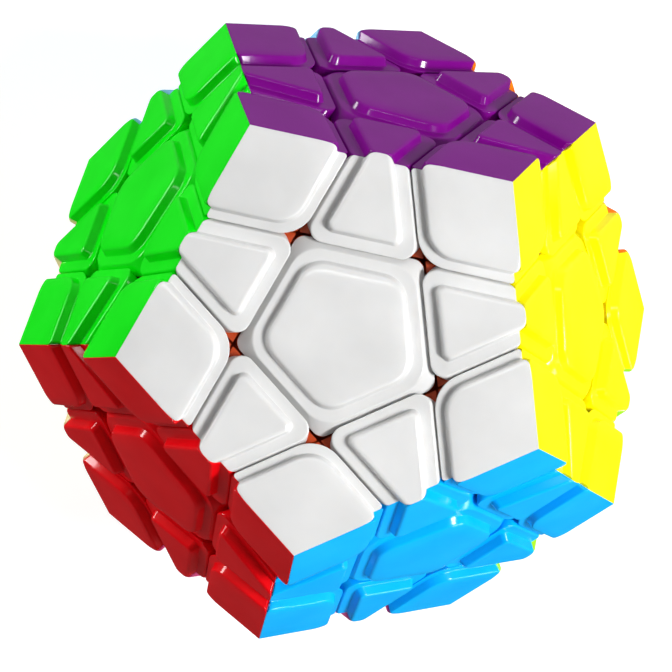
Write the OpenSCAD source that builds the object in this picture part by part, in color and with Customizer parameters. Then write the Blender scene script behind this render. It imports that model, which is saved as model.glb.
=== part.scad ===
// Twelve-face layer puzzle: a dodecahedron of centres, edge pieces and corner pieces that turn about a
// hidden core. The origin is the middle of the grey face that it rests on, and the white face is on top.
// Every cut is a surface of revolution about its own face's axis: a flat plane outside the shoulder
// sphere and a cone inside it. Feet under the shoulder hold the edge and corner pieces in.

/* [Puzzle] */
// Distance between opposite faces
across_flats = 82; // [78:0.5:86]
// Depth of each turning cut below its face
cut_depth = 13.1; // [12.7:0.1:13.1]
// Gap between neighbouring pieces
piece_gap = 0.3; // [0.2:0.05:0.4]
// How far the white layer is turned from lined up, anticlockwise from above
white_turn = 2.75; // [-36:0.25:36]

/* [Tiles] */
// Step from a tile's raised top down to its ledge
step_height = 1.5; // [0.8:0.1:2]
// Thickness of a tile under its ledge
tile_wall = 1.8; // [1.2:0.1:2.4]
// Ledge width, with its slope, on edge and corner tiles
ledge_w = 2.2; // [1.2:0.1:3]
// Ledge width, with its slope, on centre caps
cap_ledge_w = 2.9; // [1.5:0.1:4]
// Corner radius of a centre cap's outline
cap_corner_r = 1.8; // [1:0.1:6]
// Corner radius of a centre cap's raised top
cap_top_r = 4; // [1:0.1:6]
// Corner radius of a corner tile where it meets the centre
corner_tile_r = 5; // [2:0.1:6]
// Corner radius of an edge tile beside the centre
edge_tile_r = 1.9; // [0.5:0.05:3]

/* [Mechanism] */
// Half angle of the cutting plane's circle on the shoulder sphere
shoulder_angle = 41; // [40.5:0.5:42]
// Half angle of the cutting cone inside the shoulder sphere
foot_angle = 48; // [46:0.5:49]
// Height of an edge or corner foot
foot_h = 4.4; // [3:0.1:5]
// Half width of an edge piece's neck
edge_neck_w = 5.7; // [4:0.1:5.8]
// Radius of the core's ball
core_r = 14; // [12:0.5:16]
// Radius of the core's posts
post_r = 4.5; // [4:0.1:5]
// Distance from the puzzle's centre to a post's top
post_top = 20; // [18:0.5:21]
// Radius of a hub's well for the screw and spring
well_r = 3.6; // [3.4:0.1:3.8]
// Thickness of a hub's floor under the spring
hub_floor = 3; // [2:0.1:4]

/* [Screws and springs] */
// Radius of a screw's shank
screw_r = 1.5; // [1:0.1:2]
// Radius of a screw's head
screw_head_r = 2.9; // [2.5:0.1:3.2]
// Depth of a screw in its post
screw_grip = 10; // [6:0.5:12]
// Height of the compressed spring
spring_h = 6; // [5:0.1:7]
// Radius of the spring's wire
wire_r = 0.4; // [0.3:0.05:0.5]
// Turns of the spring
spring_turns = 4; // [3:1:6]
// Thickness of a washer
washer_t = 0.6; // [0.4:0.1:1]

/* [Colours] */
// Inner plastic of the bases and hubs
inner_colour = "orangered"; // [orangered, white, black]

/* [Hidden] */
$fn = 64;
half = piece_gap / 2;
far = 200;

// Directions: each face has a name, the tilt of its normal from +Z, the normal's bearing, the spin that
// turns a neighbour to the face's own +Y, and a colour.
normal_tilt = atan(2);
edge_tilt = normal_tilt / 2;
corner_tilt = atan(3 - sqrt(5));
fifth = 72;
third = 120;
first_corner = 90 - fifth / 2;
FACES = [
    ["white", 0, 0, 0, "white"],
    ["purple", normal_tilt, 90, 90, "purple"],
    ["yellow", normal_tilt, 18, 90, "yellow"],
    ["blue", normal_tilt, -54, 90, "deepskyblue"],
    ["red", normal_tilt, -126, 90, "crimson"],
    ["green", normal_tilt, 162, 90, "limegreen"],
    ["grey", 180, 0, 180, "grey"],
    ["pink", 180 - normal_tilt, -90, -90, "hotpink"],
    ["lime", 180 - normal_tilt, -18, -90, "greenyellow"],
    ["orange", 180 - normal_tilt, 54, -90, "orange"],
    ["light_blue", 180 - normal_tilt, 126, -90, "lightskyblue"],
    ["cream", 180 - normal_tilt, 198, -90, "lemonchiffon"]
];
LAST_FACE = 11;
FACE_IDS = [0 : LAST_FACE];
function face_name(f) = FACES[f][0];
function face_colour(f) = FACES[f][4];

// The three layers that turn share no piece and no neighbour, so all three can hang on one core.
MOVING = [0, 8, 11];
FIXED = -1;
FIXED_FACES = [for (f = FACE_IDS) if (len(search(f, MOVING)) == 0) f];

function spun(a, v) = [v.x * cos(a) - v.y * sin(a), v.x * sin(a) + v.y * cos(a), v.z];
function tipped(a, v) = [v.x * cos(a) + v.z * sin(a), v.y, v.z * cos(a) - v.x * sin(a)];
function from_face(f, v) = spun(FACES[f][2], tipped(FACES[f][1], spun(FACES[f][3], v)));
function normal(f) = from_face(f, [0, 0, 1]);
function unit(v) = v / norm(v);
function is_neighbour(a, b) = a != b && normal(a) * normal(b) > 0.4;

// The layer that a piece turns with: the moving face whose normal is near the piece's direction
near_layer = 0.7;
function layer_of(v) = let (hits = [for (m = MOVING) if (normal(m) * v > near_layer) m])
    len(hits) > 0 ? hits[0] : FIXED;
function polar(bearing, tilt) = [sin(tilt) * cos(bearing), sin(tilt) * sin(bearing), cos(tilt)];
function edge_direction(f, k) = from_face(f, polar(90 + fifth * k, edge_tilt));
function corner_direction(f, k) = from_face(f, polar(first_corner + fifth * k, corner_tilt));

// Radii from the puzzle's centre
face_r = across_flats / 2;
cut_r = face_r - cut_depth;
ledge_r = face_r - step_height;
tile_floor = ledge_r - tile_wall;
shoulder_r = cut_r / cos(shoulder_angle);
foot_top = shoulder_r - half;
foot_floor = foot_top - foot_h;
body_floor = cut_r + half;
hub_clear = 0.15;
hub_floor_top = post_top + hub_clear + hub_floor;
screw_seat = hub_floor_top + washer_t + spring_h;

// Sizes of the small inner details
post_root = core_r - 4;
ring_r = 5.9;
ring_wall = 1;
ring_h = 2;
hub_corner_r = 1.5;
edge_top_r = 0.5;
pocket_w = 6;
edge_pocket_l = 10;
pocket_floor = 1.5;
corner_pocket_r = 2.8;
corner_pocket_z = 2;
screw_head_h = 2.4;
slot_l = 3.6;
slot_w = 0.9;
thread_gap = 0.03;
seat_gap = 0.02;
washer_r = 3.3;
coil_r = 2.4;
COIL_STEPS = 10;
WIRE_SIDES = 5;

// Where a neighbour's cut plane and mitre plane cross a face's own plane at height z, from its centre
function cut_at(z, gap) = (cut_r + gap - z * cos(normal_tilt)) / sin(normal_tilt);
function mitre_at(z) = z * tan(edge_tilt);

// A polygon with each corner rounded by its own radius; a radius of 0 keeps the corner sharp
ARC_STEPS = 5;
function arc_points(before, corner, after, r) =
    let (u = unit(before - corner), w = unit(after - corner), open = acos(u * w))
    let (reach = r / tan(open / 2), mid = corner + unit(u + w) * r / sin(open / 2))
    let (start = corner + u * reach - mid, stop = corner + w * reach - mid)
    let (sweep = 180 - open, turn = sign(start.x * stop.y - start.y * stop.x))
    [for (i = [0 : ARC_STEPS]) let (a = turn * sweep * i / ARC_STEPS)
        mid + [start.x * cos(a) - start.y * sin(a), start.x * sin(a) + start.y * cos(a)]];
function rounded(points, radii) = let (n = len(points)) [for (i = [0 : n - 1])
    each (radii[i] == 0 ? [points[i]]
        : arc_points(points[(i + n - 1) % n], points[i], points[(i + 1) % n], radii[i]))];

// The point where two lines of a face's plane cross, each given by its normal's bearing and distance
function crossing(a, da, b, db) = let (det = sin(b - a))
    [(da * sin(b) - db * sin(a)) / det, (db * cos(a) - da * cos(b)) / det];

module slab(z0, z1) {
    translate([-far / 2, -far / 2, z0])
        cube([far, far, z1 - z0]);
}

module plate(points, z0, z1) {
    translate([0, 0, z0])
        linear_extrude(z1 - z0)
            polygon(points);
}

// A solid cone about +Z from the puzzle's centre, drawn in by a clearance all over
module cutting_cone(half_angle, clearance) {
    translate([0, 0, clearance / sin(half_angle)])
        cylinder(h = far / 3, r1 = 0, r2 = far / 3 * tan(half_angle));
}

module place_puzzle() {
    translate([0, 0, face_r])
        children();
}

// Turns a piece of the white layer with that layer, and leaves any other piece as it is
module turned(layer) {
    rotate([0, 0, layer == 0 ? white_turn : 0])
        children();
}

module on_face(f) {
    place_puzzle()
        rotate([0, FACES[f][1], FACES[f][2]])
            rotate([0, 0, FACES[f][3]])
                children();
}

// A frame with +Z along a direction and +X towards a face's normal
module on_direction(z_axis, towards) {
    x_axis = unit(towards - z_axis * (towards * z_axis));
    y_axis = cross(z_axis, x_axis);
    place_puzzle()
        multmatrix([
            [x_axis.x, y_axis.x, z_axis.x, 0],
            [x_axis.y, y_axis.y, z_axis.y, 0],
            [x_axis.z, y_axis.z, z_axis.z, 0],
            [0, 0, 0, 1]
        ])
            children();
}

/* Tiles. Each is drawn in its face's frame, with the piece on the +X bearing. */

// A rounded pentagon with its sides at a distance from its centre
function pentagon(side, r) = let (reach = side / cos(fifth / 2))
    rounded([for (k = [0 : 4]) reach * [cos(first_corner + fifth * k), sin(first_corner + fifth * k)]],
        [for (k = [0 : 4]) r]);

// Outline of a centre cap or its raised top, drawn in by an inset
function cap_outline(inset, r) = pentagon(cut_at(ledge_r, -half) - inset, r);

// Outline of a hub's flange, which shows in the holes beside a cap's corners
function hub_outline() = pentagon(cut_at(tile_floor, -half), hub_corner_r);

// Outline of a corner tile, open to its face's corner on the +X bearing
function corner_outline(inset, r) =
    let (near = cut_at(ledge_r, half) + inset, rim = mitre_at(face_r) + 1, turn = fifth / 2)
    rounded([crossing(turn, near, -turn, near), crossing(turn, near, -turn, rim),
        crossing(turn, rim, -turn, rim), crossing(turn, rim, -turn, near)], [r, 0, 0, 0]);

// Outline of an edge tile, open to its face's edge on the +X bearing
function edge_outline(inset, r) =
    let (near = cut_at(ledge_r, half) + inset)
    let (side = cut_at(ledge_r, -half) - inset)
    let (rim = mitre_at(face_r) + 1)
    rounded([crossing(0, near, -fifth, side), crossing(0, rim, -fifth, side),
        crossing(0, rim, fifth, side), crossing(0, near, fifth, side)], [r, 0, 0, r]);

// The wedge between the two mitre planes that part one tile of a corner piece from the other two
module corner_mitre() {
    reach = far / 2;
    rotate([0, corner_tilt, 0])
        linear_extrude(reach)
            polygon([[0, 0], reach * [cos(third), sin(third)], reach * [cos(third), -sin(third)]]);
}

// The side of an edge piece's mitre plane that holds one of its two tiles
module edge_mitre() {
    rotate([0, edge_tilt, 0])
        translate([-far, -far / 2, 0])
            cube([far, far, far / 2]);
}

// The two cut planes beside a corner tile share one direction, so a slanted prism follows both
module corner_ledge() {
    outline = corner_outline(0, corner_tile_r);
    slant = [for (p = outline) [p.x * cos(edge_tilt) + ledge_r * sin(edge_tilt), p.y]];
    intersection() {
        slab(tile_floor, ledge_r);
        rotate([0, -edge_tilt, 0])
            plate(slant, -far / 2, far / 2);
    }
}

module corner_tile() {
    intersection() {
        corner_mitre();
        union() {
            corner_ledge();
            plate(corner_outline(ledge_w, corner_tile_r - ledge_w / 2), tile_floor, face_r);
        }
    }
}

module edge_tile() {
    intersection() {
        edge_mitre();
        rotate([0, normal_tilt, 0])
            slab(body_floor, far / 2);
        union() {
            plate(edge_outline(0, edge_tile_r), tile_floor, ledge_r);
            plate(edge_outline(ledge_w, edge_top_r), tile_floor, face_r);
        }
    }
}

// A centre cap with the ring that locates it in its hub
module cap() {
    plate(cap_outline(0, cap_corner_r), tile_floor, ledge_r);
    plate(cap_outline(cap_ledge_w, cap_top_r), tile_floor, face_r);
    translate([0, 0, tile_floor - ring_h])
        difference() {
            cylinder(h = ring_h + tile_wall / 2, r = ring_r);
            translate([0, 0, -1])
                cylinder(h = ring_h + 1, r = ring_r - ring_wall);
        }
}

/* Inner pieces. Each is drawn in its own frame, with +Z from the puzzle's centre to the piece. */

// A centre's flange, its stem and the well for its screw and spring
module centre_hub() {
    difference() {
        union() {
            intersection() {
                cutting_cone(normal_tilt - foot_angle, half);
                slab(post_top + hub_clear, tile_floor);
            }
            difference() {
                plate(hub_outline(), cut_r, tile_floor);
                sphere(shoulder_r + half, $fn = 128);
            }
        }
        translate([0, 0, tile_floor - ring_h - hub_clear])
            cylinder(h = far / 4, r = ring_r + hub_clear);
        translate([0, 0, hub_floor_top])
            cylinder(h = far / 4, r = well_r);
        cylinder(h = far / 4, r = screw_r + hub_clear);
    }
}

module edge_base() {
    // The two cut planes and the two tile floors, as a rhombus across the piece
    rhombus = [for (d = [[body_floor, body_floor], [tile_floor, body_floor],
            [tile_floor, tile_floor], [body_floor, tile_floor]])
        crossing(90 - edge_tilt, d[0], 90 + edge_tilt, d[1])];
    z_low = rhombus[0].y - 1;
    z_high = rhombus[2].y + 1;
    end_tilt = 90 - edge_tilt;
    y_low = (cut_r - half - z_low * cos(end_tilt)) / sin(end_tilt);
    y_high = (cut_r - half - z_high * cos(end_tilt)) / sin(end_tilt);
    difference() {
        intersection() {
            rotate([90, 0, 0])
                linear_extrude(far / 4, center = true)
                    polygon(rhombus);
            rotate([90, 0, 90])
                linear_extrude(far / 4, center = true)
                    polygon([[-y_low, z_low], [y_low, z_low], [y_high, z_high], [-y_high, z_high]]);
        }
        difference() {
            sphere(shoulder_r + half, $fn = 128);
            translate([-far / 4, -edge_neck_w, 0])
                cube([far / 2, 2 * edge_neck_w, far / 2]);
        }
        translate([-pocket_w / 2, -edge_pocket_l / 2, shoulder_r - pocket_floor])
            cube([pocket_w, edge_pocket_l, far / 4]);
    }
    difference() {
        intersection() {
            sphere(foot_top, $fn = 128);
            slab(foot_floor, far / 2);
            rotate([0, edge_tilt, 0])
                cutting_cone(foot_angle, half);
            rotate([0, -edge_tilt, 0])
                cutting_cone(foot_angle, half);
        }
        rotate([end_tilt, 0, 0])
            cutting_cone(foot_angle, -half);
        rotate([-end_tilt, 0, 0])
            cutting_cone(foot_angle, -half);
    }
}

module corner_base() {
    difference() {
        intersection() {
            rotate([0, corner_tilt, 0])
                slab(body_floor, tile_floor);
            rotate([0, corner_tilt, third])
                slab(body_floor, tile_floor);
            rotate([0, corner_tilt, 2 * third])
                slab(body_floor, tile_floor);
        }
        translate([0, 0, shoulder_r + corner_pocket_z])
            cylinder(h = far / 4, r = corner_pocket_r);
    }
    intersection() {
        sphere(foot_top, $fn = 128);
        slab(foot_floor, far / 2);
        rotate([0, corner_tilt, 0])
            cutting_cone(foot_angle, half);
        rotate([0, corner_tilt, third])
            cutting_cone(foot_angle, half);
        rotate([0, corner_tilt, 2 * third])
            cutting_cone(foot_angle, half);
    }
}

module tension_screw() {
    translate([0, 0, post_top - screw_grip])
        cylinder(h = screw_grip + screw_seat - post_top, r = screw_r);
    difference() {
        translate([0, 0, screw_seat])
            cylinder(h = screw_head_h, r = screw_head_r);
        for (a = [0, 90])
            rotate([0, 0, a])
                translate([-slot_l / 2, -slot_w / 2, screw_seat + screw_head_h / 2])
                    cube([slot_l, slot_w, screw_head_h]);
    }
}

module spring_washer() {
    translate([0, 0, hub_floor_top + seat_gap])
        difference() {
            cylinder(h = washer_t - seat_gap, r = washer_r);
            translate([0, 0, -1])
                cylinder(h = washer_t + 2, r = screw_r + hub_clear);
        }
}

// A coil swept along a helix from the washer up to the screw's head
module tension_spring() {
    rings = spring_turns * COIL_STEPS;
    rise = (spring_h - 2 * wire_r) / rings;
    z_low = hub_floor_top + washer_t + wire_r;
    points = [for (i = [0 : rings]) for (j = [0 : WIRE_SIDES - 1])
        let (a = 360 * i / COIL_STEPS, b = 360 * j / WIRE_SIDES, r = coil_r + wire_r * cos(b))
            [r * cos(a), r * sin(a), z_low + rise * i + wire_r * sin(b)]];
    sides = [for (i = [0 : rings - 1]) for (j = [0 : WIRE_SIDES - 1])
        let (k = (j + 1) % WIRE_SIDES, near = i * WIRE_SIDES, next = near + WIRE_SIDES)
            [near + j, near + k, next + k, next + j]];
    first = [for (j = [WIRE_SIDES - 1 : -1 : 0]) j];
    last = [for (j = [0 : WIRE_SIDES - 1]) rings * WIRE_SIDES + j];
    polyhedron(points, concat(sides, [first, last]));
}

/* Pieces in their places */

module core() {
    color(inner_colour)
        difference() {
            union() {
                place_puzzle()
                    sphere(core_r);
                for (f = FACE_IDS)
                    on_face(f)
                        translate([0, 0, post_root])
                            cylinder(h = post_top - post_root, r = post_r);
            }
            for (f = FACE_IDS)
                on_face(f)
                    translate([0, 0, post_top - screw_grip - 1])
                        cylinder(h = far / 4, r = screw_r + thread_gap);
        }
}

module tension_screws() {
    color("silver")
        for (f = FACE_IDS)
            on_face(f)
                tension_screw();
}

module tension_springs() {
    color("gainsboro")
        for (f = FACE_IDS)
            on_face(f)
                tension_spring();
}

module spring_washers() {
    color("silver")
        for (f = FACE_IDS)
            on_face(f)
                spring_washer();
}

module centre_cap(f) {
    color(face_colour(f))
        turned(f)
            on_face(f)
                cap();
}

module centre_hubs(faces) {
    color(inner_colour)
        for (f = faces)
            turned(f)
                on_face(f)
                    centre_hub();
}

module edge_tiles(f, layer) {
    color(face_colour(f))
        for (k = [0 : 4])
            if (layer_of(edge_direction(f, k)) == layer)
                turned(layer)
                    on_face(f)
                        rotate([0, 0, 90 + fifth * k])
                            edge_tile();
}

module corner_tiles(f, layer) {
    color(face_colour(f))
        for (k = [0 : 4])
            if (layer_of(corner_direction(f, k)) == layer)
                turned(layer)
                    on_face(f)
                        rotate([0, 0, first_corner + fifth * k])
                            corner_tile();
}

module tiles(f, layer) {
    edge_tiles(f, layer);
    corner_tiles(f, layer);
}

module edge_bases(layer) {
    color(inner_colour)
        for (a = FACE_IDS)
            for (b = [a : LAST_FACE])
                if (is_neighbour(a, b) && layer_of(unit(normal(a) + normal(b))) == layer)
                    turned(layer)
                        on_direction(unit(normal(a) + normal(b)), normal(a))
                            edge_base();
}

module corner_bases(layer) {
    color(inner_colour)
        for (a = FACE_IDS)
            for (b = [a : LAST_FACE])
                for (c = [b : LAST_FACE])
                    if (is_neighbour(a, b) && is_neighbour(b, c) && is_neighbour(a, c))
                        if (layer_of(unit(normal(a) + normal(b) + normal(c))) == layer)
                            turned(layer)
                                on_direction(unit(normal(a) + normal(b) + normal(c)), normal(a))
                                    corner_base();
}

core();
tension_screws();
tension_springs();
spring_washers();
centre_hubs(FIXED_FACES);  // fixed_centre_hubs
edge_bases(FIXED);  // fixed_edge_bases
corner_bases(FIXED);  // fixed_corner_bases
for (f = FIXED_FACES) {
    centre_cap(f);
    tiles(f, FIXED);
}
for (m = MOVING) {
    centre_cap(m);
    centre_hubs([m]);
    edge_tiles(m, m);
    corner_tiles(m, m);
    edge_bases(m);
    corner_bases(m);
    for (f = FACE_IDS)
        if (is_neighbour(m, f))
            tiles(f, m);
}
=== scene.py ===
"""Looks for the twelve-face layer puzzle.

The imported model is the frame. Every coloured CAD tile is replaced by a moulded shell with a raised top,
a filleted slope, a ledge, a rounded rim and walls that follow the turning cuts. The shells of one node
make one piece, which rides on that node's body. The inner pieces keep their CAD shapes.
"""

import math

import bmesh
import bpy
from mathutils import Matrix, Vector


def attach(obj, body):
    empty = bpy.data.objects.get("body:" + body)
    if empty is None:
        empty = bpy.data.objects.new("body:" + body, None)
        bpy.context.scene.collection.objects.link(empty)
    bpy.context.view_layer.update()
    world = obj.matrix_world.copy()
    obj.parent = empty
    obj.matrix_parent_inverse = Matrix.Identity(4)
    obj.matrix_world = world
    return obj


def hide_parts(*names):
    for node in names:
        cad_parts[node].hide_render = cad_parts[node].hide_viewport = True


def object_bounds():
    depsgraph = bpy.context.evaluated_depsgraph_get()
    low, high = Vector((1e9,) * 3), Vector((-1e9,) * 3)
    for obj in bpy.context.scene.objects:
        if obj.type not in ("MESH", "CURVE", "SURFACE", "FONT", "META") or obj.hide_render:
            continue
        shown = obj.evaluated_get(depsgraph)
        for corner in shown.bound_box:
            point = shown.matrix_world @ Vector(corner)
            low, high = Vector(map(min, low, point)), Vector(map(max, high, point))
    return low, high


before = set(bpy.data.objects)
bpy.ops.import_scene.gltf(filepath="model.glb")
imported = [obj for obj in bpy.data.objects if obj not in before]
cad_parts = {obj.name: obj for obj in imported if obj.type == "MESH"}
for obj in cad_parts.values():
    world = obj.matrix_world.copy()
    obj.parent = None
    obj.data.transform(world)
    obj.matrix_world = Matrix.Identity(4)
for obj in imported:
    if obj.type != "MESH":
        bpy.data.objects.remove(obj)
cad_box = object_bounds()

MM = 0.001

# Driving sizes of the design, in metres, as the part's source has them
FACE_R = (cad_box[1][2] - cad_box[0][2]) / 2
CUT_R = FACE_R - 13.1 * MM
HALF_GAP = 0.15 * MM
STEP = 1.5 * MM
TILE_WALL = 1.8 * MM
WHITE_TURN = math.radians(2.75)
LEDGE_R = FACE_R - STEP
TILE_FLOOR = LEDGE_R - TILE_WALL

# For each kind of tile: the inset of the slope's upper edge, the crown's width and fall, the slope in
# degrees, and the radii at the slope's top, its foot and the rim
CAP_PROFILE = (2.35 * MM, (2.4 * MM, 0.2 * MM), 68, 0.6 * MM, 0.2 * MM, 0.14 * MM)
CORNER_PROFILE = (1.95 * MM, (1.8 * MM, 0.15 * MM), 74, 0.4 * MM, 0.2 * MM, 0.22 * MM)
EDGE_PROFILE = (2.4 * MM, (0.35 * MM, 0.04 * MM), 74, 0.5 * MM, 0.15 * MM, 0.22 * MM)

# Corner radii at the rim and at the raised top
CAP_R = (4.4 * MM, 3.6 * MM)
CORNER_R = (5 * MM, 3.6 * MM)
EDGE_R = (1.9 * MM, 0.6 * MM)

# A cap's ledge is this much smaller than its foot, which follows the cuts with its own corner radius
CAP_INSET = 0.4 * MM
CAP_FOOT_R = 1.8 * MM

# The bevel where two tiles of a piece meet, and the radius where a cut side ends there, at the ledge and
# at the raised top
SEAM = 0.09 * MM
END_R = (0.35 * MM, 0.6 * MM)
# Flat band kept beside a rim's rounding, so that the ledge shades flat
RIM_BAND = 0.1 * MM

# Steps round a plan corner, round an end of a cut side, and round each bend of the profile
PLAN_STEPS = 10
END_STEPS = 4
BEND_STEPS = 5
# Shading stays smooth over edges that bend less than this
SMOOTH_BELOW = math.radians(32)
WELD = 1e-7

# The dodecahedron's angles
NORMAL_TILT = math.atan(2)
EDGE_TILT = NORMAL_TILT / 2
CORNER_TILT = math.atan(3 - math.sqrt(5))
FIFTH = math.radians(72)
FIRST_EDGE = math.radians(90)
FIRST_CORNER = FIRST_EDGE - FIFTH / 2

# Each face: the tilt of its normal from +Z, the normal's bearing, and the spin that turns a
# neighbour to the face's own +Y
UPPER, LOWER = NORMAL_TILT, math.pi - NORMAL_TILT
FACES = {
    "white": (0, 0, 0),
    "purple": (UPPER, 90, 90),
    "yellow": (UPPER, 18, 90),
    "blue": (UPPER, -54, 90),
    "red": (UPPER, -126, 90),
    "green": (UPPER, 162, 90),
    "grey": (math.pi, 0, 180),
    "pink": (LOWER, -90, -90),
    "lime": (LOWER, -18, -90),
    "orange": (LOWER, 54, -90),
    "light_blue": (LOWER, 126, -90),
    "cream": (LOWER, 198, -90),
}
MOVING = ("white", "lime", "cream")
# Two faces are neighbours, or a piece belongs to a layer, above these cosines
NEIGHBOUR_COS = 0.4
LAYER_COS = 0.7


def face_turn(face):
    """The turn from a face's own frame, with +Z out along its normal, to the puzzle's."""
    tilt, bearing, spin = FACES[face]
    swing = Matrix.Rotation(math.radians(bearing), 4, "Z") @ Matrix.Rotation(tilt, 4, "Y")
    return swing @ Matrix.Rotation(math.radians(spin), 4, "Z")


def normal(face):
    return face_turn(face) @ Vector((0, 0, 1))


def is_neighbour(a, b):
    return a != b and normal(a).dot(normal(b)) > NEIGHBOUR_COS


def polar(bearing, tilt):
    """A unit vector, tilted from +Z towards a bearing."""
    flat = math.sin(tilt)
    return Vector((flat * math.cos(bearing), flat * math.sin(bearing), math.cos(tilt)))


def layer_of(direction):
    """The turning layer that a piece in this direction belongs to, or None."""
    for face in MOVING:
        if normal(face).dot(direction) > LAYER_COS:
            return face
    return None


# ---------------------------------------------------------------- outlines in a face's own plane


def cut_at(z, gap):
    """How far from the face's middle a neighbour's cut plane lies at height z."""
    return (CUT_R + gap - z * math.cos(NORMAL_TILT)) / math.sin(NORMAL_TILT)


def mitre_at(z):
    """How far from the face's middle the dodecahedron's edge lies at height z."""
    return z * math.tan(EDGE_TILT)


def crossing(a, da, b, db):
    """Where two lines cross, each given by its normal's bearing and its distance."""
    det = math.sin(b - a)
    x = (da * math.sin(b) - db * math.sin(a)) / det
    return Vector((x, (db * math.cos(a) - da * math.cos(b)) / det))


def arc(before, corner, after, r, steps=PLAN_STEPS):
    """Points round a corner of radius r, from the side before it to the side after it."""
    u, w = (before - corner).normalized(), (after - corner).normalized()
    half = math.acos(max(-1, min(1, u.dot(w)))) / 2
    mid = corner + (u + w).normalized() * (r / math.sin(half))
    start = corner + u * (r / math.tan(half)) - mid
    stop = corner + w * (r / math.tan(half)) - mid
    turn = math.copysign(math.pi - 2 * half, start.x * stop.y - start.y * stop.x)
    return [mid + Matrix.Rotation(turn * i / steps, 2) @ start for i in range(steps + 1)]


def end_radius(z):
    """Radius where a cut side meets the dodecahedron's edge, largest at the raised top."""
    rise = max(0, (z - LEDGE_R) / STEP)
    return END_R[0] + (END_R[1] - END_R[0]) * rise


def cap_ring(inset, z, r):
    """A cap's rounded pentagon."""
    reach = (cut_at(min(z, LEDGE_R), -HALF_GAP) - inset) / math.cos(FIFTH / 2)
    corners = [Matrix.Rotation(FIFTH * k + FIRST_CORNER, 2) @ Vector((reach, 0)) for k in range(5)]
    return [p for k in range(5) for p in arc(corners[k - 1], corners[k], corners[(k + 1) % 5], r)]


def corner_ring(inset, z, r, seam):
    """The cut side of a corner tile's outline, and the end points of its mitred side."""
    near, rim, turn = cut_at(min(z, LEDGE_R), HALF_GAP) + inset, mitre_at(z) - seam, FIFTH / 2
    inner, tip = crossing(turn, near, -turn, near), crossing(turn, rim, -turn, rim)
    low, high = crossing(turn, near, -turn, rim), crossing(turn, rim, -turn, near)
    ease = end_radius(z)
    first, last = arc(tip, high, inner, ease, END_STEPS), arc(inner, low, tip, ease, END_STEPS)
    return [*first, *arc(high, inner, low, r), *last], [tip]


def edge_ring(inset, z, r, seam):
    """The cut side of an edge tile's outline. Its mitred side is one straight line."""
    ref = min(z, LEDGE_R)
    near, side = cut_at(ref, HALF_GAP) + inset, cut_at(ref, -HALF_GAP) - inset
    rim = mitre_at(z) - seam
    inner = [crossing(0, near, FIFTH, side), crossing(0, near, -FIFTH, side)]
    high, low = crossing(0, rim, FIFTH, side), crossing(0, rim, -FIFTH, side)
    ease = end_radius(z)
    first = [*arc(low, high, inner[0], ease, END_STEPS), *arc(high, inner[0], inner[1], r)]
    last = [*arc(inner[0], inner[1], low, r), *arc(inner[1], low, high, ease, END_STEPS)]
    return [*first, *last], []


def profile(width, crown, slope_deg, top_r, foot_r, rim_r, steps=BEND_STEPS):
    """(inset, depth) pairs from the raised top, over its crowned edge, down the slope and over the ledge.

    width is the inset of the slope's upper edge. The crown is the band inside it, and how far it falls.
    """
    crown_w, fall = crown
    slope, lean = math.radians(slope_deg), math.atan(2 * fall / crown_w)
    straight = STEP - fall - top_r * (math.cos(lean) - math.cos(slope)) - foot_r * (1 - math.cos(slope))
    foot = width - top_r * (math.sin(slope) - math.sin(lean)) - foot_r * math.sin(slope)
    foot -= straight / math.tan(slope)
    rows = [(width + crown_w * (1 - i / steps), fall * (i / steps) ** 2) for i in range(steps + 1)]
    for i in range(1, steps + 1):
        a = lean + (slope - lean) * i / steps
        inset = width - top_r * (math.sin(a) - math.sin(lean))
        rows.append((inset, fall + top_r * (math.cos(lean) - math.cos(a))))
    for i in range(steps + 1):
        a = slope * (1 - i / steps)
        rows.append((foot + foot_r * math.sin(a), STEP - foot_r * (1 - math.cos(a))))
    rows.append((rim_r + RIM_BAND, STEP))
    for i in range(steps + 1):
        a = math.pi / 2 * i / steps
        rows.append((rim_r * (1 - math.sin(a)), STEP + rim_r * (1 - math.cos(a))))
    rows.append((0, STEP + TILE_WALL))
    return rows


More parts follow.
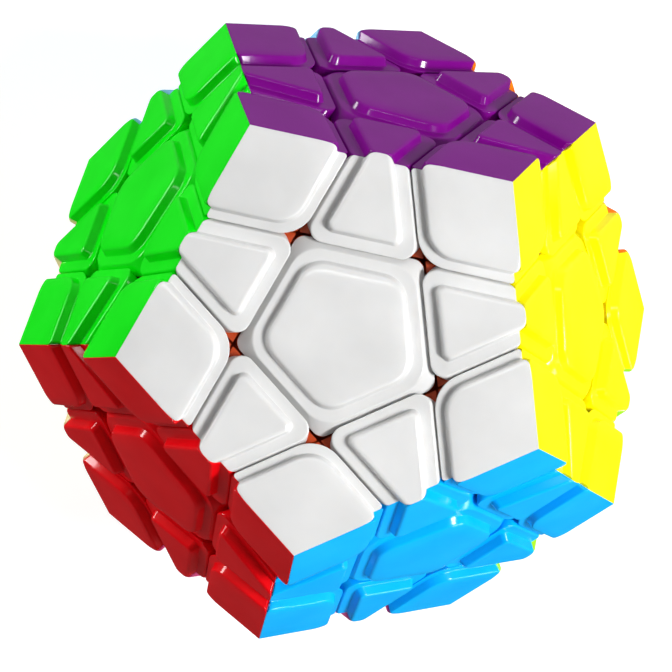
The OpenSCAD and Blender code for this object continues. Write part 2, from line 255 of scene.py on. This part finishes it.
class Shells:
    """Collects the moulded shells of one node into one mesh."""

    def __init__(self):
        self.bm = bmesh.new()

    def _ring(self, matrix, points, z):
        return [self.bm.verts.new(matrix @ Vector((p.x, p.y, z))) for p in points]

    def _strip(self, upper, lower):
        for i in range(len(upper) - 1):
            self.bm.faces.new((upper[i], lower[i], lower[i + 1], upper[i + 1]))

    def cap(self, matrix):
        """A centre cap, whose rings close on themselves."""
        rings = []
        for inset, depth in profile(*CAP_PROFILE):
            z = FACE_R - depth
            # the flank under the ledge leans out to the cut plane, and its corners sharpen
            flank = min(1, max(0, depth - STEP) / TILE_WALL)
            r = CAP_R[0] + (CAP_R[1] - CAP_R[0]) * min(1, inset / CAP_PROFILE[0])
            r += (CAP_FOOT_R - CAP_R[0]) * flank
            rings.append(self._ring(matrix, cap_ring(inset + CAP_INSET * (1 - flank), z, r), z))
        for upper, lower in zip(rings, rings[1:]):
            self._strip(upper + upper[:1], lower + lower[:1])
        self.bm.faces.new(rings[0])
        self.bm.faces.new(rings[-1][::-1])

    def tile(self, matrix, ring, rows, radii):
        """A corner or edge tile. Its cut side follows the profile, and its mitred side is bevelled."""
        tops, walls, far = [], [], []
        width = rows[0][0]
        for inset, depth in rows:
            z = FACE_R - depth
            r = radii[0] + (radii[1] - radii[0]) * min(1, inset / width)
            path, tip = ring(inset, z, r, SEAM)
            tops.append(self._ring(matrix, path, z))
            end, wall_tip = ring(inset, z - SEAM, r, 0)
            walls.append(self._ring(matrix, (end[0], end[-1]), z - SEAM))
            if (inset, depth) in (rows[0], rows[-1]):
                far.append((self._ring(matrix, tip, z), self._ring(matrix, wall_tip, z - SEAM)))
        for upper, lower in zip(tops, tops[1:]):
            self._strip(upper, lower)
        # bevels down the two ends of the cut side
        for (a, b), (wa, wb) in zip(zip(tops, tops[1:]), zip(walls, walls[1:])):
            self.bm.faces.new((a[0], wa[0], wb[0], b[0]))
            self.bm.faces.new((a[-1], b[-1], wb[1], wa[1]))
        # the raised top with the bevel along its mitred side
        top_tip, wall_tip = far[0]
        rim = [tops[0][-1], *top_tip, tops[0][0]]
        rim_wall = [walls[0][1], *wall_tip, walls[0][0]]
        self.bm.faces.new(tops[0] + top_tip)
        self._strip(rim, rim_wall)
        # the floor and the mitred walls
        foot_tip = far[1][1]
        low = [w[1] for w in walls]
        high = [w[0] for w in walls]
        self.bm.faces.new((tops[-1] + [low[-1]] + foot_tip + [high[-1]])[::-1])
        if foot_tip:
            self.bm.faces.new([wall_tip[0]] + low + foot_tip)
            self.bm.faces.new([foot_tip[0]] + high[::-1] + wall_tip)
        else:
            self.bm.faces.new(low[::-1] + high)

    def finish(self, name, material):
        """Turns the collected shells into one object."""
        bmesh.ops.remove_doubles(self.bm, verts=self.bm.verts, dist=WELD)
        loose = [v for v in self.bm.verts if not v.link_faces]
        bmesh.ops.delete(self.bm, geom=loose, context="VERTS")
        bmesh.ops.recalc_face_normals(self.bm, faces=self.bm.faces)
        for face in self.bm.faces:
            face.smooth = True
        for edge in self.bm.edges:
            edge.smooth = edge.is_manifold and edge.calc_face_angle(0) < SMOOTH_BELOW
        mesh = bpy.data.meshes.new(name)
        self.bm.to_mesh(mesh)
        self.bm.free()
        mesh.materials.append(material)
        piece = bpy.data.objects.new(name, mesh)
        bpy.context.scene.collection.objects.link(piece)
        return piece


puzzle_centre = Matrix.Translation((0, 0, FACE_R))


def place(face, layer, bearing):
    """A tile's own frame, with the piece on the +X bearing, in its place on a face."""
    turn = Matrix.Rotation(WHITE_TURN if layer == "white" else 0, 4, "Z")
    return turn @ puzzle_centre @ face_turn(face) @ Matrix.Rotation(bearing, 4, "Z")


def node_shells(face, layer, kinds):
    """The shells of one colour that turn with one layer."""
    shells = Shells()
    if "cap" in kinds:
        shells.cap(place(face, layer, 0))
    for k in range(5):
        edge = FIRST_EDGE + FIFTH * k
        corner = FIRST_CORNER + FIFTH * k
        if "edge" in kinds and layer_of(face_turn(face) @ polar(edge, EDGE_TILT)) == layer:
            shells.tile(place(face, layer, edge), edge_ring, profile(*EDGE_PROFILE), EDGE_R)
        if "corner" in kinds and layer_of(face_turn(face) @ polar(corner, CORNER_TILT)) == layer:
            shells.tile(place(face, layer, corner), corner_ring, profile(*CORNER_PROFILE), CORNER_R)
    return shells


# ---------------------------------------------------------------- materials

COLOURS = {
    "white": (0.74, 0.74, 0.735),
    "purple": (0.19, 0.0, 0.225),
    "yellow": (0.96, 0.88, 0.0),
    "blue": (0.0, 0.43, 0.97),
    "red": (0.78, 0.0, 0.004),
    "green": (0.0, 0.78, 0.003),
    "grey": (0.20, 0.205, 0.21),
    "pink": (0.86, 0.13, 0.36),
    "lime": (0.30, 0.82, 0.01),
    "orange": (0.95, 0.20, 0.0),
    "light_blue": (0.27, 0.62, 0.88),
    "cream": (0.86, 0.75, 0.40),
}


# Noise scales of the plastic's and the steel's skins, per metre
FLOW, GLOSS_PATCHES, FINE_GRAIN, WAVES = 90, 160, 2600, 260
PLATE_CLOUDS, PLATE_SCRATCHES = 700, 1500
FINE_DEPTH, WAVE_DEPTH, WAVE_STRENGTH = 0.02 * MM, 0.05 * MM, 0.35
PLASTIC_SPECULAR = 0.35


class Nodes:
    """A short way to add and link shader nodes."""

    def __init__(self, material):
        material.use_nodes = True
        self.tree = material.node_tree
        self.shader = self.tree.nodes["Principled BSDF"]

    def add(self, kind, **values):
        node = self.tree.nodes.new(kind)
        for key, value in values.items():
            if key in node.inputs:
                node.inputs[key].default_value = value
            else:
                setattr(node, key, value)
        return node

    def link(self, source, target):
        self.tree.links.new(source, target)


def noise(nodes, coords, scale, detail=3.0):
    texture = nodes.add("ShaderNodeTexNoise", Scale=scale, Detail=detail)
    nodes.link(coords, texture.inputs["Vector"])
    return texture.outputs["Fac"]


def span(nodes, value, low, high):
    """Maps a noise value from about 0.3 to 0.7 onto low to high."""
    node = nodes.add("ShaderNodeMapRange")
    node.inputs["From Min"].default_value = 0.3
    node.inputs["From Max"].default_value = 0.7
    node.inputs["To Min"].default_value = low
    node.inputs["To Max"].default_value = high
    nodes.link(value, node.inputs["Value"])
    return node.outputs["Result"]


def moulded_plastic(name, colour, gloss, grain, soft=0.0):
    """Moulded plastic: flow shading in the colour, uneven gloss from handling, and a fine moulded skin."""
    material = bpy.data.materials.new(name)
    nodes = Nodes(material)
    coords = nodes.add("ShaderNodeTexCoord").outputs["Object"]
    flow = nodes.add("ShaderNodeMix", data_type="RGBA")
    nodes.link(span(nodes, noise(nodes, coords, FLOW), 0, 1), flow.inputs["Factor"])
    flow.inputs["A"].default_value = (*[c * 0.94 for c in colour], 1)
    flow.inputs["B"].default_value = (*[min(1, c * 1.05 + 0.004) for c in colour], 1)
    nodes.link(flow.outputs["Result"], nodes.shader.inputs["Base Color"])
    rough = span(nodes, noise(nodes, coords, GLOSS_PATCHES, 6), gloss, gloss + 0.09)
    nodes.link(rough, nodes.shader.inputs["Roughness"])
    fine = nodes.add("ShaderNodeBump", Strength=grain, Distance=FINE_DEPTH)
    nodes.link(noise(nodes, coords, FINE_GRAIN, 4), fine.inputs["Height"])
    wavy = nodes.add("ShaderNodeBump", Strength=WAVE_STRENGTH, Distance=WAVE_DEPTH)
    nodes.link(noise(nodes, coords, WAVES, 1), wavy.inputs["Height"])
    nodes.link(fine.outputs["Normal"], wavy.inputs["Normal"])
    nodes.link(wavy.outputs["Normal"], nodes.shader.inputs["Normal"])
    nodes.shader.inputs["Specular IOR Level"].default_value = PLASTIC_SPECULAR
    if soft:
        nodes.shader.inputs["Subsurface Weight"].default_value = soft
        nodes.shader.inputs["Subsurface Radius"].default_value = (1.2, 1.0, 0.8)
        nodes.shader.inputs["Subsurface Scale"].default_value = 0.6 * MM
    return material


def plated_steel(name, tone, roughness):
    """Zinc-plated or drawn steel with a cloudy, scratched skin."""
    material = bpy.data.materials.new(name)
    nodes = Nodes(material)
    coords = nodes.add("ShaderNodeTexCoord").outputs["Object"]
    clouds = nodes.add("ShaderNodeMix", data_type="RGBA")
    nodes.link(span(nodes, noise(nodes, coords, PLATE_CLOUDS, 5), 0, 1), clouds.inputs["Factor"])
    clouds.inputs["A"].default_value = (tone * 0.85, tone * 0.86, tone * 0.88, 1)
    clouds.inputs["B"].default_value = (tone, tone, tone * 1.01, 1)
    nodes.link(clouds.outputs["Result"], nodes.shader.inputs["Base Color"])
    rough = span(nodes, noise(nodes, coords, PLATE_SCRATCHES, 6), roughness, roughness + 0.15)
    nodes.link(rough, nodes.shader.inputs["Roughness"])
    nodes.shader.inputs["Metallic"].default_value = 1.0
    return material


skins = {name: moulded_plastic(name + "_abs", colour, 0.1, 0.2, 0.15 if name == "white" else 0.0)
         for name, colour in COLOURS.items()}
inner = moulded_plastic("inner_nylon", (0.45, 0.045, 0.003), 0.38, 0.6)
steel = plated_steel("zinc_plate", 0.72, 0.25)
wire = plated_steel("spring_wire", 0.55, 0.3)


def repaint(node, material):
    """Gives a CAD piece that keeps its shape a procedural material."""
    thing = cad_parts[node]
    if not thing.material_slots:
        thing.data.materials.append(material)
    for slot in thing.material_slots:
        slot.material = material


# ---------------------------------------------------------------- the pieces


def stand_in(node, face, layer, kinds):
    """A moulded piece in place of a CAD node, on the same body."""
    piece = node_shells(face, layer, kinds).finish(node + "_moulding", skins[face])
    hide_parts(node)
    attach(piece, layer + "_layer" if layer else "core_assembly")


for face in FACES:
    layer = face if face in MOVING else None
    stand_in(face + "_centre_cap", face, layer, ("cap",))
    if layer:
        stand_in(face + "_edge_tiles", face, layer, ("edge",))
        stand_in(face + "_corner_tiles", face, layer, ("corner",))
        for other in FACES:
            if is_neighbour(face, other):
                stand_in(f"{face}_layer_{other}_tiles", other, face, ("edge", "corner"))
    else:
        stand_in(face + "_tiles", face, None, ("edge", "corner"))

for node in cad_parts:
    if node.endswith(("_hub", "_hubs", "_bases")) or node == "core":
        repaint(node, inner)
for node in ("tension_screws", "spring_washers"):
    repaint(node, steel)
repaint("tension_springs", wire)


# ---------------------------------------------------------------- floor, lights and camera


def build_floor():
    """A plain pale floor. Its glow keeps it pale, and it stays out of the plastic's reflections."""
    bpy.ops.mesh.primitive_plane_add(size=6, location=(0, 0, 0))
    floor = bpy.context.object
    floor.name = "floor"
    material = bpy.data.materials.new("pale_floor")
    nodes = Nodes(material)
    coords = nodes.add("ShaderNodeTexCoord").outputs["Object"]
    tint = nodes.add("ShaderNodeMix", data_type="RGBA")
    nodes.link(span(nodes, noise(nodes, coords, 6), 0, 1), tint.inputs["Factor"])
    tint.inputs["A"].default_value = (0.48, 0.48, 0.48, 1)
    tint.inputs["B"].default_value = (0.50, 0.50, 0.50, 1)
    nodes.link(tint.outputs["Result"], nodes.shader.inputs["Base Color"])
    nodes.shader.inputs["Roughness"].default_value = 0.9
    nodes.shader.inputs["Emission Color"].default_value = (1, 1, 1, 1)
    nodes.shader.inputs["Emission Strength"].default_value = 0.76
    floor.data.materials.append(material)
    floor.visible_glossy = False


def area_light(name, place_mm, size_mm, power, aim):
    """A rectangular softbox turned towards a point."""
    data = bpy.data.lights.new(name, "AREA")
    data.shape = "RECTANGLE"
    data.size, data.size_y = size_mm[0] * MM, size_mm[1] * MM
    data.energy = power
    light = bpy.data.objects.new(name, data)
    light.location = Vector(place_mm) * MM
    light.rotation_euler = (aim - light.location).to_track_quat("-Z", "Y").to_euler()
    bpy.context.scene.collection.objects.link(light)


def build_lights():
    """A key from the right, two low fills, a thin strip for highlights, and a sky that fades sideways."""
    middle = Vector((0, 0, FACE_R))
    area_light("key_softbox", (400, 20, 500), (150, 150), 3.9, middle)
    area_light("left_fill", (-580, 150, 120), (420, 110), 2.6, middle)
    area_light("right_fill", (560, -250, 120), (420, 110), 1.4, middle)
    area_light("back_strip", (-38, 140, 582), (300, 14), 0.35, middle)
    world = bpy.data.worlds.new("studio")
    world.use_nodes = True
    sky = world.node_tree.nodes["Background"]
    sky.inputs["Color"].default_value = (1, 1, 1, 1)
    add, link = world.node_tree.nodes.new, world.node_tree.links.new
    direction = add("ShaderNodeSeparateXYZ")
    link(add("ShaderNodeTexCoord").outputs["Generated"], direction.inputs["Vector"])
    shade = add("ShaderNodeMapRange")
    shade.inputs["From Min"].default_value = 0.1
    shade.inputs["From Max"].default_value = 0.8
    shade.inputs["To Min"].default_value = 0.05
    shade.inputs["To Max"].default_value = 0.28
    link(direction.outputs["Y"], shade.inputs["Value"])
    link(shade.outputs["Result"], sky.inputs["Strength"])
    # the camera itself sees a plain pale backdrop
    backdrop = add("ShaderNodeBackground")
    backdrop.inputs["Color"].default_value = (1, 1, 1, 1)
    backdrop.inputs["Strength"].default_value = 0.85
    seen = add("ShaderNodeMixShader")
    link(add("ShaderNodeLightPath").outputs["Is Camera Ray"], seen.inputs["Fac"])
    link(sky.outputs["Background"], seen.inputs[1])
    link(backdrop.outputs["Background"], seen.inputs[2])
    link(seen.outputs["Shader"], world.node_tree.nodes["World Output"].inputs["Surface"])
    bpy.context.scene.world = world


def build_camera():
    """Almost straight above the white face, rolled a little, from about 27 cm over the middle."""
    middle = Vector((0, 0, FACE_R))
    eye = middle + Vector((-1.5, 7.1, 265.6)) * MM
    target = middle + Vector((-0.6, -1.85, 0)) * MM
    image_up = math.radians(105)
    back = (eye - target).normalized()
    right = Vector((math.cos(image_up), math.sin(image_up), 0)).cross(back).normalized()
    up = back.cross(right)
    data = bpy.data.cameras.new("camera")
    data.sensor_width = 36
    data.lens = 87.9
    data.clip_start = 0.01
    camera = bpy.data.objects.new("camera", data)
    turn = Matrix((right, up, back)).transposed().to_4x4()
    camera.matrix_world = Matrix.Translation(eye) @ turn
    bpy.context.scene.collection.objects.link(camera)
    bpy.context.scene.camera = camera


build_floor()
build_lights()
build_camera()
bpy.context.scene.view_settings.view_transform = "Standard"
